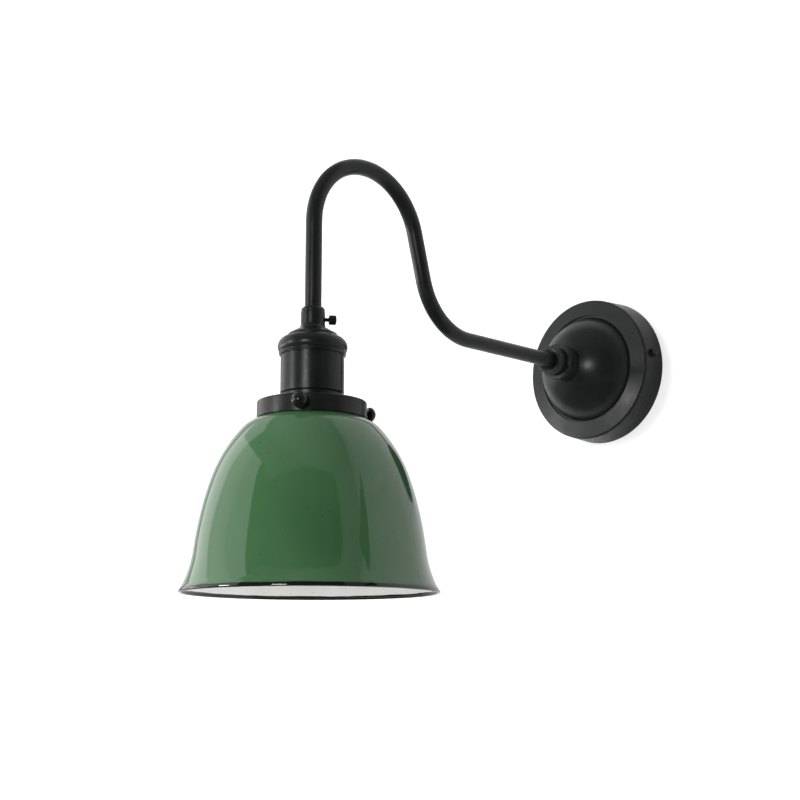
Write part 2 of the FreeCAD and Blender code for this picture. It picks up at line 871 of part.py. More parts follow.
def make_neck_screw():
    """Thumb screw with a plain cylindrical head, its tip just clear of the arm."""
    tip = tube_hole + running
    knob = neck_radius + neck_knob_gap
    end = knob + neck_knob_length
    edge = neck_knob_chamfer
    body = turned(
        (0, tip),
        (neck_screw_radius, tip),
        (neck_screw_radius, knob),
        (neck_knob_radius - edge, knob),
        (neck_knob_radius, knob + edge),
        (neck_knob_radius, end - edge),
        (corner_point(neck_knob_radius, end, edge), (neck_knob_radius - edge, end)),
        (0, end),
    )
    return along(body, neck_screw_angle, neck_screw_height)


def make_holder_sleeve():
    """Cylinder up into the cap, drawn in at its foot, with a ledge and a threaded stub."""
    ledge = gallery_top + sleeve_ledge
    foot = sleeve_radius - sleeve_foot_depth
    foot_top = gallery_top + sleeve_foot_length
    return on_lamp(turned(
        (sleeve_bore, sleeve_top),
        (sleeve_radius, sleeve_top),
        (sleeve_radius, foot_top),
        (foot, foot_top - sleeve_foot_depth),
        (foot, gallery_top + sleeve_foot_depth),
        (sleeve_radius, gallery_top),
        (stub_radius, gallery_top),
        (stub_radius, stub_bottom),
        (stub_bore, stub_bottom),
        (stub_bore, ledge),
        (foot - sleeve_wall, ledge),
        (foot - sleeve_wall, foot_top - sleeve_foot_depth),
        (sleeve_bore, foot_top + sleeve_wall),
    ))


def make_lamp_insert():
    """Porcelain body: flange on the sleeve's top edge, wiring well above, lamp cavity below."""
    flange = sleeve_radius - insert_flange_inset
    body = sleeve_bore - insert_side_gap
    tail = stub_bore - insert_side_gap
    step = insert_top - insert_step_drop
    cavity = shell_radius + shell_wall + cavity_gap
    bottom = stub_bottom + insert_foot_gap
    insert = turned(
        (well_radius, insert_top),
        (flange, insert_top),
        (flange, sleeve_top),
        (body, sleeve_top),
        (body, step),
        (tail, step - insert_step_height),
        (tail, bottom),
        (cavity, bottom),
        (cavity, socket_roof),
        (0, socket_roof),
        (0, well_floor),
        (well_radius, well_floor),
    )
    for x in (contact_screw_live, contact_screw_neutral):
        insert = insert.cut(rod(contact_screw_radius + free_hole, socket_roof, well_floor, x))
    return on_lamp(insert)


def make_lamp_shell():
    """Screw shell for the lamp, drawn plain at its thread's radius, coned in to a holed flange."""
    outer = shell_radius + shell_wall
    flange = socket_roof - shell_wall
    thread_top = flange - shell_crown_height
    shell = turned(
        (shell_radius, socket_roof - shell_length),
        (outer, socket_roof - shell_length),
        (outer, thread_top),
        (outer - shell_crown_inset, socket_roof),
        (shell_opening_radius, socket_roof),
        (shell_opening_radius, flange),
        (shell_radius - shell_crown_inset, flange),
        (shell_radius, thread_top),
    )
    hole = rod(contact_screw_radius + free_hole, flange, socket_roof, contact_screw_neutral)
    return on_lamp(shell.cut(hole))


def make_centre_contact():
    """Springy strip: flat under its screw, then bent down to a level pad on the lamp axis."""
    top = socket_roof
    thick = contact_strip_thickness
    low = top - contact_drop
    half = contact_strip_width / 2
    end = contact_screw_live + contact_strip_end
    bend = contact_screw_live - contact_bend
    foot = bend - contact_lean
    corners = [
        (end, top),
        (end, top - thick),
        (bend, top - thick),
        (foot, low),
        (-contact_pad_end, low),
        (-contact_pad_end, low + thick),
        (foot - thick, low + thick),
        (bend - thick, top),
    ]
    points = [Vector(x, -half, z) for x, z in corners]
    strip = Part.Face(Part.makePolygon(points + points[:1])).extrude(ACROSS * contact_strip_width)
    hole = rod(contact_screw_radius + free_hole, top - thick, top, contact_screw_live)
    return on_lamp(strip.cut(hole))


def make_contact_screws():
    """One screw up through the insert for each contact, into the terminal above it."""
    plates = (
        (contact_screw_live, contact_strip_thickness),
        (contact_screw_neutral, shell_wall),
    )
    screws = []
    for x, plate in plates:
        seat = socket_roof - plate
        length = terminal_top - contact_screw_cover - thread_play - seat
        one = small_screw(contact_screw_radius, length, contact_head_radius)
        screws.append(on_lamp(placed(one, Placement(Vector(x, 0, seat), Rotation(SIDEWAYS, 180)))))
    return Part.makeCompound(screws)


def make_terminal(contact_x):
    """Brass block in the well, threaded for its contact screw and side screw."""
    start = contact_x - terminal_edge
    entry_x = contact_x + terminal_entry
    half = terminal_width / 2
    body = block(start, start + terminal_length, -half, half, well_floor, terminal_top)
    contact_hole = contact_screw_radius + thread_play
    body = body.cut(rod(contact_hole, well_floor, terminal_top - contact_screw_cover, contact_x))
    entry = rod(lead_radius + running, terminal_top - terminal_entry_depth, terminal_top, entry_x)
    side_hole = terminal_screw_radius + thread_play
    side = cross_bar(side_hole, 0, half, entry_x, terminal_top - terminal_screw_drop, ACROSS)
    return on_lamp(body.cut(entry).cut(side))


def make_holder_terminal_screws():
    half = terminal_width / 2
    screws = []
    for entry in (live_entry, neutral_entry):
        one = small_screw(terminal_screw_radius, half - lead_radius - lead_play, terminal_head_radius)
        base = Vector(entry, half, terminal_top - terminal_screw_drop)
        screws.append(on_lamp(placed(one, Placement(base, Rotation(SIDEWAYS, -90)))))
    return Part.makeCompound(screws)


def make_tail(x, entry):
    """End of a lead, from where it leaves the arm down into its terminal."""
    points = [
        Vector(x, -reach, lead_end),
        Vector(x, -reach, lead_end - tail_straight),
        Vector(entry, -reach, terminal_top + tail_straight),
        Vector(entry, -reach, terminal_top - terminal_entry_depth + lead_play),
    ]
    return swept(filleted(points), lead_radius)


# ---- gallery and shade --------------------------------------------------------------------
def make_gallery():
    """Flat cup with a skirt, and three tapped bosses inside the skirt."""
    corner = gallery_corner_radius
    hole = stub_radius + running
    side = gallery_top - corner
    cup = on_lamp(turned(
        (hole, gallery_top),
        (gallery_radius - corner, gallery_top),
        (corner_point(gallery_radius, gallery_top, corner), (gallery_radius, side)),
        (gallery_radius, gallery_floor),
        (gallery_inside, gallery_floor),
        (gallery_inside, gallery_top - gallery_sheet),
        (hole, gallery_top - gallery_sheet),
    ))
    for angle in gallery_screw_angles.values():
        boss = rod(boss_radius, boss_face, gallery_radius - gallery_sheet / 2)
        cup = cup.fuse(along(boss, angle, gallery_screw_height))
    for angle in gallery_screw_angles.values():
        thread = rod(gallery_screw_radius + thread_play, boss_face, gallery_radius + gallery_sheet)
        cup = cup.cut(along(thread, angle, gallery_screw_height))
    return cup.removeSplitter()


def make_gallery_screw(angle):
    """Thumb screw: shank, waisted neck and a round-nosed knob."""
    tip = shade_neck_radius + gallery_tip_gap
    neck = gallery_radius + gallery_knob_gap
    knob = neck + gallery_neck_length
    band = knob + gallery_knob_band
    rim = gallery_knob_rim
    waist = (gallery_neck_radius - gallery_neck_waist, neck + gallery_neck_length / 2)
    inset = rim * (1 - math.cos(math.radians(45)))
    nose = knob + gallery_knob_length
    body = turned(
        (0, tip),
        (gallery_screw_radius, tip),
        (gallery_screw_radius, neck),
        (gallery_neck_radius, neck),
        (waist, (gallery_neck_radius, knob)),
        (gallery_knob_radius - rim, knob),
        ((gallery_knob_radius - inset, knob + inset), (gallery_knob_radius, knob + rim)),
        (gallery_knob_radius, band),
        (crown_point(gallery_knob_radius, band, nose - band), (0, nose)),
    )
    return along(body, angle, gallery_screw_height)


def make_shade_ring():
    """Notched ring on the sleeve's stub that clamps the gallery from below."""
    high = gallery_top - gallery_sheet
    low = high - ring_height
    edge = ring_chamfer
    bore = stub_radius + thread_play
    ring = turned(
        (bore, low),
        (ring_radius - edge, low),
        (ring_radius, low + edge),
        (ring_radius, high - edge),
        (ring_radius - edge, high),
        (bore, high),
    )
    for n in range(ring_notch_count):
        angle = 2 * math.pi * n / ring_notch_count
        x = ring_radius * math.cos(angle)
        y = ring_radius * math.sin(angle)
        ring = ring.cut(rod(ring_notch_radius, low, high, x, y))
    return on_lamp(ring)


def shade_moves():
    """Straights and bends of the shade's outside, from the neck's lip down to the rim."""
    slope = math.radians(shoulder_slope)
    fillet_out = shade_neck_fillet * (1 - math.sin(slope))
    fillet_down = shade_neck_fillet * math.cos(slope)
    straight = (shoulder_start_radius - shade_neck_radius - fillet_out) / math.cos(slope)
    drop = shade_neck_top - shoulder_start_height - fillet_down - straight * math.sin(slope)
    return [(drop,), (shade_neck_fillet, 90 - shoulder_slope), (straight,), *shade_bends]


def shade_line(depth_in):
    """Edges and joints of the shade's outline, set in from its outside by a depth."""
    def set_in(joint):
        x, z, heading = joint
        return Vector(x + depth_in * math.sin(heading), 0, z - depth_in * math.cos(heading))

    down = math.radians(-90)
    here = set_in((shade_neck_radius, shade_neck_top, down))
    edges = []
    for via, stop in walk((shade_neck_radius, shade_neck_top), down, shade_moves()):
        point = set_in(stop)
        edges.append(arc(here, set_in(via), point) if via else line(here, point))
        here = point
    return edges, here


def make_shade():
    """Bell of one wall thickness: outside line, inside line set in from it, lip and rim beads."""
    outside, rim_out = shade_line(0.0)
    inside, rim_in = shade_line(shade_wall)
    neck_out = Vector(shade_neck_radius, 0, shade_neck_top)
    neck_in = Vector(shade_neck_radius - shade_wall, 0, shade_neck_top)
    ends = [line(rim_out, rim_in), line(neck_out, neck_in)]
    wall = Part.Face(Part.Wire(Part.__sortEdges__(outside + inside + ends)))
    bell = wall.revolve(ORIGIN, UP, 360)
    lip_middle = shade_neck_radius + shade_lip_overhang - shade_lip_radius
    lip = Part.makeTorus(lip_middle, shade_lip_radius, Vector(0, 0, shade_neck_top), UP)
    rim_middle = (rim_out + rim_in) / 2
    rim = Part.makeTorus(rim_middle.x, rim_bead_radius, Vector(0, 0, rim_middle.z), UP)
    return on_lamp(bell.fuse(lip).fuse(rim).removeSplitter())


PIECES = {
    "wall_bracket": make_wall_bracket,
    "ground_screw": make_ground_screw,
    "earth_lug": make_earth_lug,
    "earth_lead": make_earth_lead,
    "terminal_block": make_terminal_block,
    "terminal_tubes": make_terminal_tubes,
    "terminal_clamp_screws": make_terminal_clamp_screws,
    "block_fixing_screw": make_block_fixing_screw,
    "canopy": make_canopy,
    "canopy_side_screws": make_canopy_side_screws,
    "arm_collar": make_arm_collar,
    "threaded_nipple": make_threaded_nipple,
    "lock_washer": make_lock_washer,
    "lock_nut": make_lock_nut,
    "arm_tube": make_arm_tube,
    "wire_bush": make_wire_bush,
    "neutral_lead": lambda: make_lamp_lead(block_poles[1], -lead_spacing / 2),
    "live_lead": lambda: make_lamp_lead(block_poles[2], lead_spacing / 2),
    "holder_cap": make_holder_cap,
    "neck_screw": make_neck_screw,
    "holder_sleeve": make_holder_sleeve,
    "lamp_insert": make_lamp_insert,
    "lamp_shell": make_lamp_shell,
    "centre_contact": make_centre_contact,
    "contact_screws": make_contact_screws,
    "live_terminal": lambda: make_terminal(contact_screw_live),
    "neutral_terminal": lambda: make_terminal(contact_screw_neutral),
    "holder_terminal_screws": make_holder_terminal_screws,
    "live_tail": lambda: make_tail(lead_spacing / 2, live_entry),
    "neutral_tail": lambda: make_tail(-lead_spacing / 2, neutral_entry),
    "gallery": make_gallery,
    "shade_ring": make_shade_ring,
    "gallery_screw_front": lambda: make_gallery_screw(gallery_screw_angles["front"]),
    "gallery_screw_right": lambda: make_gallery_screw(gallery_screw_angles["right"]),
    "gallery_screw_rear": lambda: make_gallery_screw(gallery_screw_angles["rear"]),
    "shade": make_shade,
}

os.makedirs("parts", exist_ok=True)
for name, make in PIECES.items():
    make().exportStep(f"parts/{name}.step")
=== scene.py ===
"""Finish and detail for the gooseneck wall light: paint, enamel, metals, threads and wiring.

Metres, with lengths written in millimetres times MM. The wall is the plane Y = 0, the light
stands out from it towards -Y, and Z is up. The lamp axis is the upright line X = 0, Y = -REACH.
Turned pieces are drawn upright at the origin as (radius, height) outlines, then set in place.
"""
import bmesh
import bpy
import json
import math

from mathutils import Matrix, Vector


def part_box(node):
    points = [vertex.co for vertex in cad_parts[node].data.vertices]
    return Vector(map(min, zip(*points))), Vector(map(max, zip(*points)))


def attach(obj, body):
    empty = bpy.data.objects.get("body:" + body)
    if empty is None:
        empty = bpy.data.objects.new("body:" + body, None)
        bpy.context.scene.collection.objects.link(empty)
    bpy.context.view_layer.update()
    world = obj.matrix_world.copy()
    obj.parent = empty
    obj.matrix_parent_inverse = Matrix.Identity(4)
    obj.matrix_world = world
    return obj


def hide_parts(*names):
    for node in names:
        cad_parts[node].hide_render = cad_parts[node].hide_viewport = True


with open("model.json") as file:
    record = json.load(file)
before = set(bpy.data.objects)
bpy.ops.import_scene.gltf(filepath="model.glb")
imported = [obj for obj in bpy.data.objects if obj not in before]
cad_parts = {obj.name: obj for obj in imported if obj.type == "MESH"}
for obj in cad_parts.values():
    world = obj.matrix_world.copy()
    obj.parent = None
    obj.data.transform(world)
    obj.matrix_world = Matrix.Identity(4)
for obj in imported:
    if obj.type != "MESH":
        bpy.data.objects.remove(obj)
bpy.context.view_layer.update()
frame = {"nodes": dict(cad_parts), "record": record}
nodes = frame["nodes"]

MM = 0.001
REACH = 344 * MM
LAMP_AXIS = Vector((0, -REACH, 0))
TINY = MM / 1000

# ---- camera, from the photograph's perspective ----
CAMERA_PLACE = Vector((0.7417, -1.0131, -0.2599))
CAMERA_HEADING = 44.396  # degrees to the left of straight at the wall
CAMERA_PITCH = 10.747
CAMERA_LENS = 64.95
SENSOR_WIDTH = 36

# ---- arm, for the leads inside it ----
TUBE_START = 57.59 * MM
RISER_ANGLE = 74.6
LOWER_BEND_RADIUS = 52.6 * MM
RISER_LENGTH = 37.1 * MM
ARCH_RADIUS = 53.2 * MM

# ---- arm collar ----
# The bore and the barrel are 0.05 mm over the CAD's, and the hidden web round the nipple isn't drawn.
COLLAR_SEAT = 54.39 * MM
COLLAR_BORE = 6.1 * MM
COLLAR_FOOT_RADIUS = 14.9 * MM
COLLAR_FOOT_LENGTH = 9.7 * MM
COLLAR_RIM_OVERHANG = 0.6 * MM
COLLAR_RIM_THICKNESS = 3.3 * MM
COLLAR_RIM_ROUNDING = 0.7 * MM
COLLAR_BARREL_RADIUS = 11.8 * MM
COLLAR_BARREL_LENGTH = 9.3 * MM
COLLAR_MOUTH_ROUNDING = 0.9 * MM
COLLAR_RECESS_DEPTH = 2.0 * MM
COLLAR_RECESS_WIDTH = 3.2 * MM

# ---- shade ----
SHADE_WALL = 1.2 * MM
SHADE_NECK_RADIUS = 33.6 * MM
SHADE_NECK_TOP = -75.6 * MM
SHADE_NECK_FILLET = 5.0 * MM
SHADE_LIP_RADIUS = 0.9 * MM
SHOULDER_START = Vector((38.1 * MM, -85.0 * MM))
SHOULDER_SLOPE = 19.5
SHADE_BENDS = ((27.0 * MM, -29.3), (101.4 * MM, -22.9), (246.0 * MM, -11.7), (74.8 * MM, 22.5))
RIM_BEAD_RADIUS = 1.15 * MM
BEND_STEP = 3.0  # degrees of bend between two rings of corners
SHADE_SIDES = 160
ENAMEL_WAVE = 0.3 * MM
ENAMEL_WAVE_SIZE = 32 * MM
ENAMEL_CALM_EDGE = 12 * MM  # the waves fade out this far from the neck and the rim

# ---- lamp shell ----
SHELL_RADIUS = 12.95 * MM  # middle of the rolled thread
SHELL_THREAD_DEPTH = 0.4 * MM
SHELL_PITCH = 3.629 * MM
SHELL_SHEET = 0.35 * MM
SHELL_LOW = -78.4 * MM
SHELL_THREAD_TOP = -54.6 * MM
SHELL_ROOF = -50.0 * MM
SHELL_OPENING_RADIUS = 7.5 * MM
SHELL_CONE_DROP = 1.2 * MM
SHELL_ROOF_ROUNDING = 0.8 * MM
SHELL_ROOF_INSET = 0.6 * MM
SHELL_SIDES = 64

# ---- thumb screws ----
GALLERY_SCREWS = {"front": -53.5, "right": 66.5, "rear": 186.5}
GALLERY_SCREW_HEIGHT = -78.5 * MM
GALLERY_SCREW_TIP = 33.9 * MM
GALLERY_SCREW_RADIUS = 1.95 * MM
GALLERY_SCREW_PITCH = 0.7 * MM
GALLERY_NECK = 39.9 * MM
GALLERY_NECK_RADIUS = 3.0 * MM
GALLERY_NECK_WAIST = 2.5 * MM
GALLERY_KNOB = 41.7 * MM
GALLERY_KNOB_RADIUS = 5.4 * MM
GALLERY_KNOB_RIM = 1.2 * MM
GALLERY_KNOB_BAND = 2.4 * MM
GALLERY_KNOB_LENGTH = 6.0 * MM
NECK_SCREW_ANGLE = 55.0
NECK_SCREW_HEIGHT = -12.3 * MM
NECK_SCREW_TIP = 6.1 * MM
NECK_SCREW_RADIUS = 1.5 * MM
NECK_SCREW_PITCH = 0.5 * MM
NECK_KNOB = 11.3 * MM
NECK_KNOB_RADIUS = 3.5 * MM
NECK_KNOB_LENGTH = 5.3 * MM
NECK_KNOB_EDGE = 0.9 * MM
THREAD_DEPTH_SHARE = 0.6  # this and the next three are shares of the pitch
THREAD_RISE_END = 0.42
THREAD_FALL_START = 0.52
THREAD_FALL_END = 0.94
ROD_SIDES = 28
GALLERY_KNOB_SIDES = 56
GALLERY_WAIST_FLARE = 0.12 * MM
GALLERY_WAIST_HALF = 0.45 * MM
NECK_KNOB_SIDES = 48

# ---- leads ----
LEAD_RADIUS = 1.2 * MM
LEAD_SPACING = 3.0 * MM
LEAD_END = -19.8 * MM
TAIL_START = -20.2 * MM
CORE_RADIUS = 0.62 * MM


# ---- working by hand, in code ----
def deselect():
    for thing in bpy.context.selected_objects:
        thing.select_set(False)


def take(piece):
    deselect()
    piece.select_set(True)
    bpy.context.view_layer.objects.active = piece


def start_edit(piece):
    take(piece)
    bpy.ops.object.mode_set(mode="EDIT")


def stop_edit():
    bpy.ops.object.mode_set(mode="OBJECT")


def pick(piece, kind, test):
    """Selects the corners, edges or faces ("verts", "edges", "faces") that pass a test."""
    bpy.ops.mesh.select_all(action="DESELECT")
    mesh = bmesh.from_edit_mesh(piece.data)
    for part in getattr(mesh, kind):
        if test(part):
            part.select_set(True)
    mesh.select_flush_mode()
    bmesh.update_edit_mesh(piece.data)


def settle(piece, place=Matrix.Identity(4)):
    """Sets a piece drawn at the origin in its place, and keeps that place in its mesh."""
    take(piece)
    piece.matrix_world = place @ piece.matrix_world
    bpy.ops.object.transform_apply(location=True, rotation=True, scale=True)


def smooth(piece, angle=35):
    take(piece)
    bpy.ops.object.shade_smooth_by_angle(angle=math.radians(angle))


def apply(piece, kind, **settings):
    """Adds one modifier with its settings and applies it."""
    take(piece)
    modifier = piece.modifiers.new(kind.lower(), kind)
    for key, value in settings.items():
        setattr(modifier, key, value)
    bpy.ops.object.modifier_apply(modifier=modifier.name)


def drawn_line(name, outline):
    """One row of corners at (radius, height), pulled out of a small plane."""
    corners = [Vector((radius, 0, height)) for radius, height in outline]
    deselect()
    bpy.ops.mesh.primitive_plane_add(size=MM, location=corners[0])
    piece = bpy.context.object
    piece.name = name
    start_edit(piece)
    bpy.ops.mesh.merge(type="CENTER")
    for here, there in zip(corners, corners[1:]):
        bpy.ops.mesh.extrude_region_move(TRANSFORM_OT_translate={"value": there - here})
    stop_edit()
    settle(piece)
    return piece


def turned(name, outline, sides, ring=True):
    """Spins an outline round the upright axis; a ring's outline is closed first."""
    piece = drawn_line(name, outline)
    start_edit(piece)
    if ring:
        pick(piece, "verts", lambda corner: len(corner.link_edges) == 1)
        bpy.ops.mesh.edge_face_add()
    bpy.ops.mesh.select_all(action="SELECT")
    bpy.ops.mesh.spin(steps=sides, angle=math.tau, center=(0, 0, 0), axis=(0, 0, 1))
    bpy.ops.mesh.select_all(action="SELECT")
    bpy.ops.mesh.remove_doubles(threshold=TINY)
    bpy.ops.mesh.normals_make_consistent(inside=False)
    stop_edit()
    return piece


def helix(name, outline, pitch, low, high, sides, fill):
    """Winds one pitch of thread up from below its start, then cuts it off square at both ends."""
    turns = math.ceil((high - low) / pitch) + 2
    piece = drawn_line(name, [(radius, height + low - pitch) for radius, height in outline])
    apply(
        piece, "SCREW", axis="Z", angle=math.tau, screw_offset=pitch, iterations=turns, steps=sides,
        render_steps=sides, use_merge_vertices=True, merge_threshold=TINY, use_normal_calculate=True,
    )
    start_edit(piece)
    for height, up in ((low, -1), (high, 1)):
        bpy.ops.mesh.select_all(action="SELECT")
        bpy.ops.mesh.bisect(
            plane_co=(0, 0, height), plane_no=(0, 0, up), use_fill=fill, clear_outer=True
        )
    bpy.ops.mesh.select_all(action="SELECT")
    bpy.ops.mesh.remove_doubles(threshold=TINY)
    bpy.ops.mesh.normals_make_consistent(inside=False)
    stop_edit()
    return piece


def threaded_rod(name, radius, pitch, low, high):
    root = radius - THREAD_DEPTH_SHARE * pitch
    crest = (
        (root, 0),
        (radius, THREAD_RISE_END * pitch),
        (radius, THREAD_FALL_START * pitch),
        (root, THREAD_FALL_END * pitch),
        (root, pitch),
    )
    return helix(name, crest, pitch, low, high, ROD_SIDES, fill=True)


def joined(name, *parts):
    deselect()
    for part in parts:
        part.select_set(True)
    bpy.context.view_layer.objects.active = parts[0]
    bpy.ops.object.join()
    parts[0].name = name
    return parts[0]


def corner_round(radius, height, rounding, steps=4):
    """Corners of a quarter round that ends a rise: from the side over to the top."""
    turns = [math.radians(90 * n / steps) for n in range(steps + 1)]
    return [
        (radius - rounding * (1 - math.cos(turn)), height - rounding * (1 - math.sin(turn)))
        for turn in turns
    ]


def wire(name, points, radius):
    """Smooth round wire whose line is a curve with the given control points."""
    deselect()
    bpy.ops.curve.primitive_nurbs_path_add(location=(0, 0, 0))
    piece = bpy.context.object
    piece.name = name
    piece.data.splines.clear()
    spline = piece.data.splines.new("NURBS")
    spline.points.add(len(points) - 1)
    for corner, point in zip(spline.points, points):
        corner.co = (*point, 1)
    spline.order_u = 3
    spline.use_endpoint_u = True
    spline.resolution_u = 8
    piece.data.bevel_depth = radius
    piece.data.bevel_resolution = 3
    piece.data.use_fill_caps = True
    bpy.ops.object.convert(target="MESH")
    piece = bpy.context.object
    smooth(piece, 60)
    return piece


# ---- finishes ----
PAINT_IOR = 1.34  # matting agent keeps its shine below that of a clear varnish
PAINT_DARK = (0.0065, 0.0072, 0.0070)
PAINT_LIGHT = (0.0105, 0.0112, 0.0110)
ENAMEL_IOR = 1.62
ENAMEL_ROUGHNESS = 0.05
ENAMEL_SPECK_SCALE = 150
ENAMEL_SPECK_TONE = 0.45  # of the darker colour
ENAMEL_EDGE_WOBBLE = 1.1 * MM
RIM_BLACK = (0.008, 0.008, 0.009)
BLACK_LAP = 3.2 * MM  # height of the rim's black coat, and of its fading edge
BLACK_FADE = 0.3 * MM


class Finish:
    """One procedural material, laid out on the piece's own coordinates."""

    def __init__(self, name, roughness, metallic=0.0, ior=1.5, coat=0.0):
        self.material = bpy.data.materials.new(name)
        self.material.use_nodes = True
        self.tree = self.material.node_tree
        self.shader = self.tree.nodes["Principled BSDF"]
        self.set("Roughness", roughness)
        self.set("Metallic", metallic)
        self.set("IOR", ior)
        self.set("Coat Weight", coat)
        self.place = self.add("ShaderNodeTexCoord").outputs["Object"]

    def add(self, kind, **settings):
        node = self.tree.nodes.new(kind)
        for key, value in settings.items():
            setattr(node, key, value)
        return node

    def set(self, socket, value):
        self.shader.inputs[socket].default_value = value

    def link(self, source, target):
        self.tree.links.new(source, target)

    def noise(self, scale, detail=2.0, roughness=0.5):
        node = self.add("ShaderNodeTexNoise")
        node.inputs["Scale"].default_value = scale
        node.inputs["Detail"].default_value = detail
        node.inputs["Roughness"].default_value = roughness
        self.link(self.place, node.inputs["Vector"])
        return node.outputs["Fac"]

    def ranged(self, source, low, high, out_low=0.0, out_high=1.0):
        node = self.add("ShaderNodeMapRange")
        self.link(source, node.inputs["Value"])
        sockets = ("From Min", "From Max", "To Min", "To Max")
        for socket, value in zip(sockets, (low, high, out_low, out_high)):
            node.inputs[socket].default_value = value
        return node.outputs["Result"]

    def mixed(self, share, first, second):
        """Colour between two, by a 0 to 1 share. A colour is three numbers or another node's output."""
        node = self.add("ShaderNodeMix", data_type="RGBA")
        self.link(share, node.inputs["Factor"])
        for socket, colour in ((node.inputs[6], first), (node.inputs[7], second)):
            if isinstance(colour, tuple):
                socket.default_value = (*colour, 1)
            else:
                self.link(colour, socket)
        return node.outputs[2]

    def coloured(self, colour):
        self.link(colour, self.shader.inputs["Base Color"])

    def worn(self, scale, low, high):
        """Roughness that drifts between two values."""
        self.link(self.ranged(self.noise(scale, 3), 0.35, 0.65, low, high), self.shader.inputs["Roughness"])

    def bumpy(self, *layers):
        """Bump from (height output, distance) layers, the coarse ones first."""
        normal = None
        for height, distance in layers:
            node = self.add("ShaderNodeBump")
            node.inputs["Distance"].default_value = distance
            node.inputs["Strength"].default_value = 1.0
            self.link(height, node.inputs["Height"])
            if normal:
                self.link(normal, node.inputs["Normal"])
            normal = node.outputs["Normal"]
        self.link(normal, self.shader.inputs["Normal"])


def stove_paint(name, roughness):
    """Satin black paint: a little drift in tone and gloss, and a fine orange peel."""
    finish = Finish(name, roughness, ior=PAINT_IOR)
    finish.coloured(finish.mixed(finish.noise(70, 3), PAINT_DARK, PAINT_LIGHT))
    finish.worn(45, roughness - 0.04, roughness + 0.05)
    finish.bumpy((finish.noise(900, 2), 0.02 * MM), (finish.noise(4200, 1), 0.004 * MM))
    return finish.material


def height_output(finish):
    split = finish.add("ShaderNodeSeparateXYZ")
    finish.link(finish.place, split.inputs["Vector"])
    return split.outputs["Z"]


def enamel(name, deep, light, edge_low, edge_high):
    """Glass enamel over steel: mottled, with pin specks, and black where the rim's coat laps over it."""
    finish = Finish(name, ENAMEL_ROUGHNESS, ior=ENAMEL_IOR)
    body = finish.mixed(finish.ranged(finish.noise(24, 4), 0.3, 0.7), deep, light)
    cells = finish.add("ShaderNodeTexVoronoi", feature="F1")
    cells.inputs["Scale"].default_value = ENAMEL_SPECK_SCALE
    finish.link(finish.place, cells.inputs["Vector"])
    speck = finish.ranged(cells.outputs["Distance"], 0.045, 0.075)
    specked = finish.mixed(speck, tuple(ENAMEL_SPECK_TONE * part for part in deep), body)
    wobble = finish.add("ShaderNodeMath", operation="MULTIPLY_ADD")
    finish.link(finish.noise(55, 3), wobble.inputs[0])
    wobble.inputs[1].default_value = ENAMEL_EDGE_WOBBLE
    finish.link(height_output(finish), wobble.inputs[2])
    above_rim = finish.ranged(wobble.outputs[0], edge_low, edge_high)
    finish.coloured(finish.mixed(above_rim, RIM_BLACK, specked))
    finish.bumpy((finish.noise(60, 2), 0.05 * MM), (finish.noise(600, 2), 0.003 * MM))
    return finish.material


def metal(name, dark, light, low, high, grain=1500):
    finish = Finish(name, high, metallic=1.0)
    finish.coloured(finish.mixed(finish.noise(220, 4, 0.6), dark, light))
    finish.worn(300, low, high)
    finish.bumpy((finish.noise(grain, 3), 0.008 * MM))
    return finish.material


def moulded(name, dark, light, roughness, glaze=0.0):
    finish = Finish(name, roughness, coat=glaze)
    finish.set("Coat Roughness", 0.08)
    finish.coloured(finish.mixed(finish.noise(90, 3), dark, light))
    finish.bumpy((finish.noise(1400, 2), 0.01 * MM))
    return finish.material


def striped(name, first, second):
    """Two-coloured insulation: a stripe along the wire, by the mesh's own map."""
    finish = Finish(name, 0.42)
    wrap = finish.add("ShaderNodeUVMap")
    split = finish.add("ShaderNodeSeparateXYZ")
    finish.link(wrap.outputs["UV"], split.inputs["Vector"])
    stripe = finish.ranged(split.outputs["Y"], 0.49, 0.51)
    finish.coloured(finish.mixed(stripe, first, second))
    finish.bumpy((finish.noise(1400, 2), 0.01 * MM))
    return finish.material


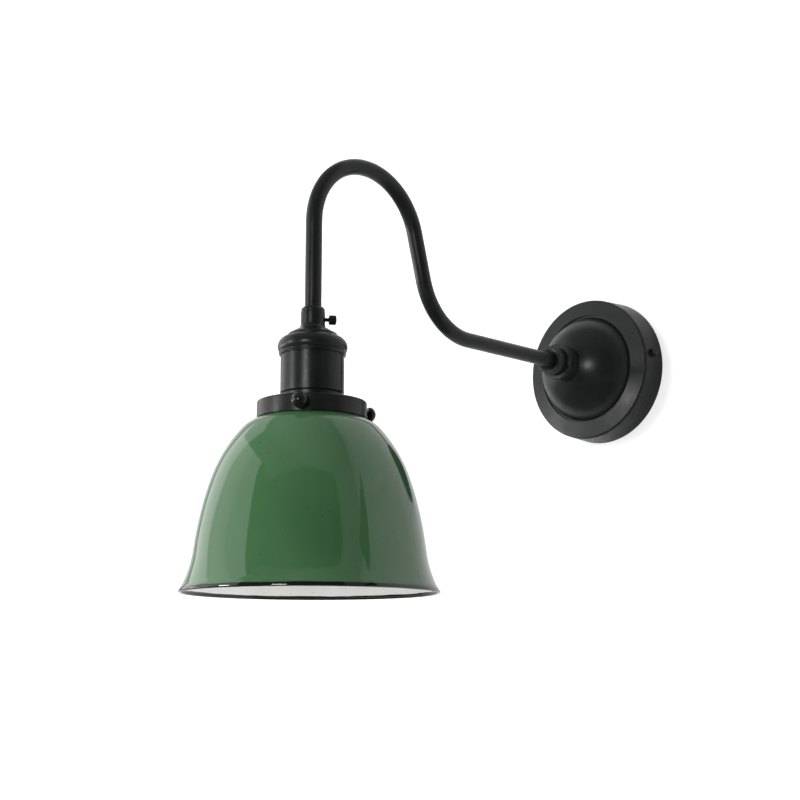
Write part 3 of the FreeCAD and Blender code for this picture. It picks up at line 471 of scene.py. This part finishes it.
RIM_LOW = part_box("shade")[0].z
BLACK_TO = RIM_LOW + BLACK_LAP
BLACK_FADED = BLACK_TO + BLACK_FADE
FINISHES = {
    "black_paint": stove_paint("satin_black_paint", 0.29),
    "knob_paint": stove_paint("gloss_black_paint", 0.14),
    "green_enamel": enamel(
        "green_enamel", (0.037, 0.098, 0.041), (0.045, 0.114, 0.048), BLACK_TO, BLACK_FADED
    ),
    "white_enamel": enamel(
        "white_enamel", (0.74, 0.74, 0.71), (0.80, 0.80, 0.775), BLACK_TO, BLACK_FADED
    ),
    "zinc_steel": metal("zinc_plate", (0.52, 0.53, 0.55), (0.70, 0.71, 0.72), 0.22, 0.38),
    "earth_green_screw": metal("green_passivated_zinc", (0.16, 0.36, 0.17), (0.24, 0.46, 0.22), 0.25, 0.4),
    "tinned_copper": metal("tinned_copper", (0.60, 0.59, 0.56), (0.74, 0.73, 0.70), 0.25, 0.4),
    "brass": metal("brass", (0.62, 0.43, 0.16), (0.80, 0.60, 0.28), 0.16, 0.32),
    "copper": metal("bare_copper", (0.62, 0.27, 0.15), (0.80, 0.42, 0.26), 0.2, 0.34),
    "porcelain": moulded("glazed_porcelain", (0.74, 0.73, 0.69), (0.80, 0.79, 0.75), 0.3, glaze=0.8),
    "block_plastic": moulded("natural_nylon", (0.66, 0.64, 0.57), (0.74, 0.72, 0.65), 0.45),
    "bush_plastic": moulded("white_bush_nylon", (0.70, 0.70, 0.67), (0.76, 0.76, 0.73), 0.45),
    "black_plastic": moulded("black_moulding", (0.010, 0.010, 0.010), (0.018, 0.018, 0.018), 0.38),
    "live_insulation": moulded("brown_insulation", (0.10, 0.042, 0.020), (0.13, 0.055, 0.027), 0.42),
    "neutral_insulation": moulded("blue_insulation", (0.020, 0.10, 0.38), (0.028, 0.13, 0.44), 0.42),
    "earth_insulation": striped("green_yellow_insulation", (0.05, 0.28, 0.05), (0.72, 0.62, 0.04)),
}


def dress(piece, finish):
    piece.data.materials.clear()
    piece.data.materials.append(FINISHES[finish])


def fit_piece(piece, body, slot, finish, *stands_for):
    """Gives a new piece its finish and the body it moves with. The slot argument is not used."""
    dress(piece, finish)
    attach(piece, body)
    if stands_for:
        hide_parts(*stands_for)


# ---- arm collar ----
def make_collar():
    """Thick foot on the dome with a rim, and a barrel round the tube, coned in at its mouth."""
    foot_end = COLLAR_SEAT + COLLAR_FOOT_LENGTH
    rim = COLLAR_FOOT_RADIUS + COLLAR_RIM_OVERHANG
    rim_face = foot_end + COLLAR_RIM_THICKNESS
    front = rim_face + COLLAR_BARREL_LENGTH
    collar = turned("turned_arm_collar", [
        (COLLAR_BORE, COLLAR_SEAT),
        (COLLAR_FOOT_RADIUS, COLLAR_SEAT),
        (COLLAR_FOOT_RADIUS, foot_end),
        (rim, foot_end + COLLAR_RIM_OVERHANG),
        *corner_round(rim, rim_face, COLLAR_RIM_ROUNDING),
        (COLLAR_BARREL_RADIUS, rim_face),
        *corner_round(COLLAR_BARREL_RADIUS, front, COLLAR_MOUTH_ROUNDING),
        (COLLAR_BORE + COLLAR_RECESS_WIDTH, front),
        (COLLAR_BORE, front - COLLAR_RECESS_DEPTH),
    ], 72)
    settle(collar, Matrix.Rotation(math.radians(90), 4, "X"))
    smooth(collar)
    fit_piece(collar, "wall_side", "black_paint", "black_paint", "arm_collar")


# ---- shade ----
def shade_line(inset):
    """Corners of the shade's outline from its neck to its rim, set in from the outside."""
    slope = math.radians(SHOULDER_SLOPE)
    fillet_out = SHADE_NECK_FILLET * (1 - math.sin(slope))
    straight = (SHOULDER_START.x - SHADE_NECK_RADIUS - fillet_out) / math.cos(slope)
    drop = (
        SHADE_NECK_TOP
        - SHOULDER_START.y
        - SHADE_NECK_FILLET * math.cos(slope)
        - straight * math.sin(slope)
    )
    here = Vector((SHADE_NECK_RADIUS, SHADE_NECK_TOP))
    heading = math.radians(-90)
    moves = [(drop, 0), (SHADE_NECK_FILLET, 90 - SHOULDER_SLOPE), (straight, 0), *SHADE_BENDS]
    corners = [here + inset * Vector((math.sin(heading), -math.cos(heading)))]
    for size, turn in moves:
        if not turn:
            here = here + size * Vector((math.cos(heading), math.sin(heading)))
            corners.append(here + inset * Vector((math.sin(heading), -math.cos(heading))))
            continue
        side = math.copysign(size, turn)
        steps = math.ceil(max(abs(turn) / BEND_STEP, abs(math.radians(turn)) * size / (4 * MM)))
        start = here
        first = heading
        for step in range(1, steps + 1):
            heading = first + math.radians(turn) * step / steps
            here = start + side * Vector((
                math.sin(heading) - math.sin(first), math.cos(first) - math.cos(heading)
            ))
            corners.append(here + inset * Vector((math.sin(heading), -math.cos(heading))))
    return corners


def bead(middle, radius, start, end, steps=10):
    """Corners round a bead, between two angles in degrees, ends left out."""
    angles = [math.radians(start + (end - start) * n / steps) for n in range(1, steps)]
    return [middle + radius * Vector((math.cos(angle), math.sin(angle))) for angle in angles]


def make_shade():
    outside = shade_line(0.0)
    inside = shade_line(SHADE_WALL)
    rim = bead((outside[-1] + inside[-1]) / 2, RIM_BEAD_RADIUS, 20, -250)
    lip_middle = (outside[0] + inside[0]) / 2
    lip = bead(lip_middle, SHADE_LIP_RADIUS, 210, -30, 8)
    outline = outside[1:-1] + rim + inside[-2:0:-1] + lip
    piece = turned("enamel_shade", outline, SHADE_SIDES)
    calm = piece.vertex_groups.new(name="waves")
    low = RIM_LOW + ENAMEL_CALM_EDGE
    high = SHOULDER_START.y - ENAMEL_CALM_EDGE
    for corner in piece.data.vertices:
        edge = min(corner.co.z - low, high - corner.co.z) / ENAMEL_CALM_EDGE
        calm.add([corner.index], min(1.0, max(0.0, edge)), "REPLACE")
    waves = bpy.data.textures.new("enamel_waves", "CLOUDS")
    waves.noise_scale = ENAMEL_WAVE_SIZE
    apply(
        piece, "DISPLACE", texture=waves, strength=ENAMEL_WAVE, mid_level=0.5,
        vertex_group="waves", texture_coords="LOCAL", direction="NORMAL",
    )
    settle(piece, Matrix.Translation(LAMP_AXIS))
    smooth(piece, 60)
    fit_piece(piece, "head", "green_enamel", "green_enamel", "shade")
    piece.data.materials.append(FINISHES["white_enamel"])
    for face in piece.data.polygons:
        out = (face.center - LAMP_AXIS).xy.normalized()
        face.material_index = 0 if face.normal.xy.dot(out) > 0 else 1


# ---- lamp shell ----
def make_lamp_shell():
    """Brass shell with its rolled thread, and the coned end above it with a holed flange."""
    steps = 12
    wave = [
        (SHELL_RADIUS - SHELL_THREAD_DEPTH * math.cos(math.tau * n / steps), SHELL_PITCH * n / steps)
        for n in range(steps + 1)
    ]
    thread = helix("lamp_shell_thread", wave, SHELL_PITCH, SHELL_LOW, SHELL_THREAD_TOP, SHELL_SIDES, False)
    apply(thread, "SOLIDIFY", thickness=SHELL_SHEET, offset=1.0)
    outer = SHELL_RADIUS + SHELL_SHEET
    crown = turned("shell_crown", [
        (SHELL_RADIUS, SHELL_THREAD_TOP),
        (outer, SHELL_THREAD_TOP),
        (outer, SHELL_ROOF - SHELL_CONE_DROP),
        *corner_round(outer, SHELL_ROOF, SHELL_ROOF_ROUNDING),
        (SHELL_OPENING_RADIUS, SHELL_ROOF),
        (SHELL_OPENING_RADIUS, SHELL_ROOF - SHELL_SHEET),
        (SHELL_RADIUS - SHELL_ROOF_INSET, SHELL_ROOF - SHELL_SHEET),
        (SHELL_RADIUS, SHELL_ROOF - SHELL_CONE_DROP),
    ], SHELL_SIDES)
    shell = joined("threaded_shell", thread, crown)
    settle(shell, Matrix.Translation(LAMP_AXIS))
    smooth(shell)
    fit_piece(shell, "head", "brass", "brass", "lamp_shell")


# ---- thumb screws ----
def outward(angle, height):
    """Place of a piece drawn along Z, laid level and pointing out from the lamp axis."""
    turn = Matrix.Rotation(math.radians(angle), 4, "Z") @ Matrix.Rotation(math.radians(90), 4, "Y")
    return Matrix.Translation(LAMP_AXIS + Vector((0, 0, height))) @ turn


def make_gallery_screw(side, angle):
    crown_rise = GALLERY_KNOB_LENGTH - GALLERY_KNOB_BAND
    sphere = (GALLERY_KNOB_RADIUS**2 + crown_rise**2) / (2 * crown_rise)
    half = math.asin(min(1.0, GALLERY_KNOB_RADIUS / sphere))
    steps = 14
    nose = GALLERY_KNOB + GALLERY_KNOB_LENGTH
    turns = [half * (1 - n / steps) for n in range(steps + 1)]
    crown = [(sphere * math.sin(turn), nose - sphere * (1 - math.cos(turn))) for turn in turns]
    middle = (GALLERY_NECK + GALLERY_KNOB) / 2
    rim = corner_round(GALLERY_KNOB_RADIUS, GALLERY_KNOB + GALLERY_KNOB_RIM, GALLERY_KNOB_RIM)
    back = [
        (radius, 2 * GALLERY_KNOB + GALLERY_KNOB_RIM - height)
        for radius, height in reversed(rim)
    ]
    knob = turned("knob", [
        (0, GALLERY_NECK),
        (GALLERY_NECK_RADIUS, GALLERY_NECK),
        (GALLERY_NECK_WAIST + GALLERY_WAIST_FLARE, middle - GALLERY_WAIST_HALF),
        (GALLERY_NECK_WAIST, middle),
        (GALLERY_NECK_WAIST + GALLERY_WAIST_FLARE, middle + GALLERY_WAIST_HALF),
        (GALLERY_NECK_RADIUS, GALLERY_KNOB),
        *back,
        *crown,
    ], GALLERY_KNOB_SIDES, ring=False)
    shank = threaded_rod(
        "shank", GALLERY_SCREW_RADIUS, GALLERY_SCREW_PITCH, GALLERY_SCREW_TIP, GALLERY_NECK
    )
    screw = joined(f"thumb_screw_{side}", knob, shank)
    settle(screw, outward(angle, GALLERY_SCREW_HEIGHT))
    smooth(screw, 40)
    fit_piece(screw, f"gallery_screw_{side}", "black_paint", "knob_paint", f"gallery_screw_{side}")


def make_neck_screw():
    end = NECK_KNOB + NECK_KNOB_LENGTH
    top = corner_round(NECK_KNOB_RADIUS, end, NECK_KNOB_EDGE)
    bottom = [(radius, NECK_KNOB + end - height) for radius, height in reversed(top)]
    knob = turned("knob", [(0, NECK_KNOB), *bottom, *top, (0, end)], NECK_KNOB_SIDES, ring=False)
    shank = threaded_rod("shank", NECK_SCREW_RADIUS, NECK_SCREW_PITCH, NECK_SCREW_TIP, NECK_KNOB)
    screw = joined("neck_thumb_screw", knob, shank)
    settle(screw, outward(NECK_SCREW_ANGLE, NECK_SCREW_HEIGHT))
    smooth(screw, 40)
    fit_piece(screw, "neck_screw", "black_paint", "knob_paint", "neck_screw")


# ---- wiring ----
TILT = Matrix.Rotation(math.radians(-6.6), 3, "Y")
BLOCK_MIDDLE = 8.5
BLOCK_EDGE = 8.0
POLES = {"earth": 15.5, "neutral": 23.5, "live": 31.5}


def by_bracket(x, depth, height):
    """Place beside the bracket, in millimetres, turned with it."""
    return TILT @ Vector((x * MM, -depth * MM, height * MM))


def arm_points(x, end):
    """Corners round the arm's bends, for a smooth line down its middle."""
    rise = math.radians(RISER_ANGLE)
    level_end = (
        REACH
        - ARCH_RADIUS * (1 + math.sin(rise))
        - RISER_LENGTH * math.cos(rise)
        - LOWER_BEND_RADIUS * math.sin(rise)
    )
    here = Vector((level_end, 0))
    heading = 0.0
    points = [Vector((TUBE_START, 0)), Vector(((TUBE_START + level_end) / 2, 0))]
    for radius, turn, parts, after in (
        (LOWER_BEND_RADIUS, rise, 3, RISER_LENGTH),
        (ARCH_RADIUS, -rise - math.pi / 2, 6, 0),
    ):
        setback = radius * abs(math.tan(turn / parts / 2))
        for _ in range(parts):
            points.append(here + setback * Vector((math.cos(heading), math.sin(heading))))
            heading += turn / parts
            here = points[-1] + setback * Vector((math.cos(heading), math.sin(heading)))
        here = here + after * Vector((math.cos(heading), math.sin(heading)))
    points += [Vector((REACH, here.y * 0.5)), Vector((REACH, end))]
    return [Vector((x, -out, up)) for out, up in points]


def make_wires():
    strands = []
    for pole, x in (("neutral", -LEAD_SPACING / 2), ("live", LEAD_SPACING / 2)):
        above = by_bracket(POLES[pole], BLOCK_MIDDLE, BLOCK_EDGE + 10)
        points = [
            by_bracket(POLES[pole], BLOCK_MIDDLE, BLOCK_EDGE + 1.5),
            by_bracket(POLES[pole], BLOCK_MIDDLE, BLOCK_EDGE + 5),
            above,
            Vector((0.62 * above.x, -21 * MM, 21 * MM)),
            Vector((x, -31 * MM, 10 * MM)),
            Vector((x, -42 * MM, 0)),
            Vector((x, -50 * MM, 0)),
            *arm_points(x, LEAD_END),
        ]
        piece = wire(f"{pole}_wire", points, LEAD_RADIUS)
        fit_piece(piece, "wall_side", f"{pole}_insulation", f"{pole}_insulation", f"{pole}_lead")
        strands.append(wire("core", [
            by_bracket(POLES[pole], BLOCK_MIDDLE, BLOCK_EDGE - 3),
            by_bracket(POLES[pole], BLOCK_MIDDLE, BLOCK_EDGE),
            by_bracket(POLES[pole], BLOCK_MIDDLE, BLOCK_EDGE + 3),
        ], CORE_RADIUS))
    lug_depth = 4.3
    earth = [
        by_bracket(POLES["earth"], BLOCK_MIDDLE, BLOCK_EDGE + 1.5),
        by_bracket(POLES["earth"], BLOCK_MIDDLE, BLOCK_EDGE + 5),
        by_bracket(POLES["earth"], BLOCK_MIDDLE, BLOCK_EDGE + 10),
        by_bracket(-4, 6.4, BLOCK_EDGE + 10.5),
        by_bracket(-24, lug_depth, BLOCK_EDGE + 10),
        by_bracket(-24, lug_depth, 12),
        by_bracket(-24, lug_depth, 8.6),
    ]
    piece = wire("earth_wire", earth, LEAD_RADIUS)
    fit_piece(piece, "wall_side", "earth_insulation", "earth_insulation", "earth_lead")
    for x, depth, low, high in ((POLES["earth"], BLOCK_MIDDLE, 5, 11), (-24, lug_depth, 6.2, 10)):
        core = [by_bracket(x, depth, low + (high - low) * n / 2) for n in range(3)]
        strands.append(wire("core", core, CORE_RADIUS))
    cores = joined("bare_wire_ends", *strands)
    fit_piece(cores, "wall_side", "brass", "copper")
    for pole, x, entry in (("live", 1.5, 7.9), ("neutral", -1.5, -6.9)):
        tail = wire(f"{pole}_wire_end", [
            LAMP_AXIS + Vector((place * MM, 0, height))
            for place, height in ((x, TAIL_START), (x, -23 * MM), (entry, -28.8 * MM), (entry, -35.2 * MM))
        ], LEAD_RADIUS)
        fit_piece(tail, "head", f"{pole}_insulation", f"{pole}_insulation", f"{pole}_tail")


for name, node in nodes.items():
    slot = next(part["material_slot"] for part in frame["record"]["subparts"] if part["node"] == name)
    dress(node, slot)
make_collar()
make_shade()
make_lamp_shell()
for side, angle in GALLERY_SCREWS.items():
    make_gallery_screw(side, angle)
make_neck_screw()
make_wires()

# ---- wall, floor and light ----
WALL_SIZE = 5
FLOOR_SIZE = 12
FLOOR_HEIGHT = -1.05
WALL_GAP = 0.2 * MM
WALL_WHITE = (0.58, 0.58, 0.58)
WALL_GLOW = 0.44
AMBIENT = 0.55
TOWARDS_CAMERA = Matrix.Rotation(math.radians(CAMERA_HEADING), 3, "Z") @ Vector((0, -1, 0))
LIGHT_AIM = LAMP_AXIS + Vector((0, 0, -60 * MM))


def seen_rays(tree, rays):
    """1 for a ray of one of these kinds, else 0."""
    path = tree.nodes.new("ShaderNodeLightPath")
    total = path.outputs[rays[0]]
    for ray in rays[1:]:
        either = tree.nodes.new("ShaderNodeMath")
        either.operation = "MAXIMUM"
        tree.links.new(total, either.inputs[0])
        tree.links.new(path.outputs[ray], either.inputs[1])
        total = either.outputs[0]
    return total


def stage_material(name, colour, glow, one_sided):
    """Matt surface with a little glow of its own; seen only by the rays that show a background."""
    material = bpy.data.materials.new(name)
    material.use_nodes = True
    tree = material.node_tree
    tree.nodes.remove(tree.nodes["Principled BSDF"])
    output = tree.nodes["Material Output"]
    matt = tree.nodes.new("ShaderNodeBsdfDiffuse")
    matt.inputs["Color"].default_value = (*colour, 1)
    emission = tree.nodes.new("ShaderNodeEmission")
    added = tree.nodes.new("ShaderNodeAddShader")
    glowing = tree.nodes.new("ShaderNodeMath")
    glowing.operation = "MULTIPLY"
    tree.links.new(seen_rays(tree, ("Is Camera Ray", "Is Transmission Ray")), glowing.inputs[0])
    glowing.inputs[1].default_value = glow
    tree.links.new(glowing.outputs[0], emission.inputs["Strength"])
    tree.links.new(matt.outputs[0], added.inputs[0])
    tree.links.new(emission.outputs[0], added.inputs[1])
    clear = tree.nodes.new("ShaderNodeBsdfTransparent")
    mix = tree.nodes.new("ShaderNodeMixShader")
    share = seen_rays(tree, ("Is Camera Ray", "Is Glossy Ray", "Is Transmission Ray"))
    if one_sided:
        geometry = tree.nodes.new("ShaderNodeNewGeometry")
        front = tree.nodes.new("ShaderNodeMath")
        front.operation = "SUBTRACT"
        tree.links.new(share, front.inputs[0])
        tree.links.new(geometry.outputs["Backfacing"], front.inputs[1])
        front.use_clamp = True
        share = front.outputs[0]
    tree.links.new(share, mix.inputs[0])
    tree.links.new(clear.outputs[0], mix.inputs[1])
    tree.links.new(added.outputs[0], mix.inputs[2])
    tree.links.new(mix.outputs[0], output.inputs["Surface"])
    return material


def staged_plane(name, size, place, turn, material):
    deselect()
    bpy.ops.mesh.primitive_plane_add(size=size, location=place, rotation=turn)
    plane = bpy.context.object
    plane.name = name
    plane.data.materials.append(material)
    return plane


def bearing(angle, rise):
    """Direction seen from the light's head: degrees to the right of the camera, and upward."""
    flat = Matrix.Rotation(math.radians(angle), 3, "Z") @ TOWARDS_CAMERA
    return (flat * math.cos(math.radians(rise)) + Vector((0, 0, math.sin(math.radians(rise))))).normalized()


def panel(name, angle, rise, distance, width, height, power):
    data = bpy.data.lights.new(name, "AREA")
    data.shape = "RECTANGLE"
    data.size = width
    data.size_y = height
    data.energy = power
    lamp = bpy.data.objects.new(name, data)
    bpy.context.scene.collection.objects.link(lamp)
    way = bearing(angle, rise)
    lamp.location = LIGHT_AIM + way * distance
    lamp.rotation_euler = way.to_track_quat("Z", "Y").to_euler()
    return lamp


def flag_cloth(name, tone):
    cloth = bpy.data.materials.new(name)
    cloth.use_nodes = True
    shader = cloth.node_tree.nodes["Principled BSDF"]
    shader.inputs["Base Color"].default_value = (tone, tone, tone, 1)
    shader.inputs["Roughness"].default_value = 1.0
    shader.inputs["Specular IOR Level"].default_value = 0.0
    return cloth


def flag(name, angle, rise, distance, width, height, cloth, lean=0.0, taper=1.0):
    """Dark card that only reflections show. Its top can lean over and be narrower than its foot."""
    way = bearing(angle, rise)
    card = staged_plane(name, 1, (0, 0, 0), (0, 0, 0), cloth)
    start_edit(card)
    bpy.ops.transform.resize(value=(width, height, 1))
    pick(card, "verts", lambda corner: corner.co.y > 0)
    bpy.ops.transform.resize(value=(taper, 1, 1))
    bpy.ops.transform.translate(value=(lean, 0, 0))
    pick(card, "verts", lambda corner: corner.co.y < 0)
    bpy.ops.transform.translate(value=(-lean, 0, 0))
    stop_edit()
    card.location = LIGHT_AIM + way * distance
    card.rotation_euler = way.to_track_quat("Z", "Y").to_euler()
    card.visible_camera = False
    card.visible_diffuse = False
    card.visible_shadow = False
    card.visible_transmission = False


world = bpy.data.worlds.new("studio")
bpy.context.scene.world = world
world.use_nodes = True
surround = world.node_tree
ambient = surround.nodes["Background"]
ambient.inputs["Color"].default_value = (1, 1, 1, 1)
ambient.inputs["Strength"].default_value = AMBIENT
backdrop = surround.nodes.new("ShaderNodeBackground")
backdrop.inputs["Color"].default_value = (1, 1, 1, 1)
backdrop.inputs["Strength"].default_value = 1.0
choice = surround.nodes.new("ShaderNodeMixShader")
surround.links.new(
    seen_rays(surround, ("Is Camera Ray", "Is Glossy Ray", "Is Transmission Ray")), choice.inputs[0]
)
surround.links.new(ambient.outputs[0], choice.inputs[1])
surround.links.new(backdrop.outputs[0], choice.inputs[2])
surround.links.new(choice.outputs[0], surround.nodes["World Output"].inputs["Surface"])

wall_white = stage_material("wall_white", WALL_WHITE, WALL_GLOW, True)
staged_plane("wall", WALL_SIZE, (0, WALL_GAP, 0), (math.radians(90), 0, 0), wall_white)
floor_white = stage_material("floor_white", WALL_WHITE, WALL_GLOW, False)
staged_plane("floor", FLOOR_SIZE, (0, 0, FLOOR_HEIGHT), (0, 0, 0), floor_white)

# The key from the left and the fill from below show in no reflection. The panels light and reflect.
key = panel("key", -75, 25, 1.5, 0.7, 0.7, 19)
low_fill = panel("low_fill", 0, -88, 0.8, 0.9, 0.9, 4.5)
for lamp in (key, low_fill):
    lamp.visible_glossy = False
panel("left_panel", -127, 24, 1.3, 0.66, 1.5, 2.2)
panel("left_haze", -96, 24, 1.4, 0.45, 0.9, 0.22)
panel("low_strip_left", -106, 0.5, 1.5, 0.8, 0.14, 3.4)
panel("side_strip", -74, 6.5, 1.6, 0.3, 0.16, 4.0)
panel("front_strip", -22, 6, 1.6, 0.36, 0.24, 8.5)

black_cloth = flag_cloth("black_cloth", 0.01)
grey_cloth = flag_cloth("grey_cloth", 0.3)
flag("front_flag", -12, 12, 1.9, 4.2, 4.5, black_cloth)
flag("right_flag", 47, 12, 1.9, 0.8, 4.5, grey_cloth)
flag("top_flag", 0, 89, 1.4, 3.0, 3.0, grey_cloth)
flag("low_flag", 0, -89, 0.9, 2.6, 2.6, black_cloth)
flag("side_flag", 64, 23, 1.2, 0.46, 0.78, black_cloth, lean=0.14, taper=0.12)

camera_data = bpy.data.cameras.new("camera")
camera_data.sensor_width = SENSOR_WIDTH
camera_data.lens = CAMERA_LENS
camera_data.clip_start = 0.01
camera = bpy.data.objects.new("camera", camera_data)
camera.location = CAMERA_PLACE
camera.rotation_euler = (math.radians(90 + CAMERA_PITCH), 0, math.radians(CAMERA_HEADING))
bpy.context.scene.collection.objects.link(camera)
bpy.context.scene.camera = camera
bpy.context.scene.view_settings.view_transform = "Standard"
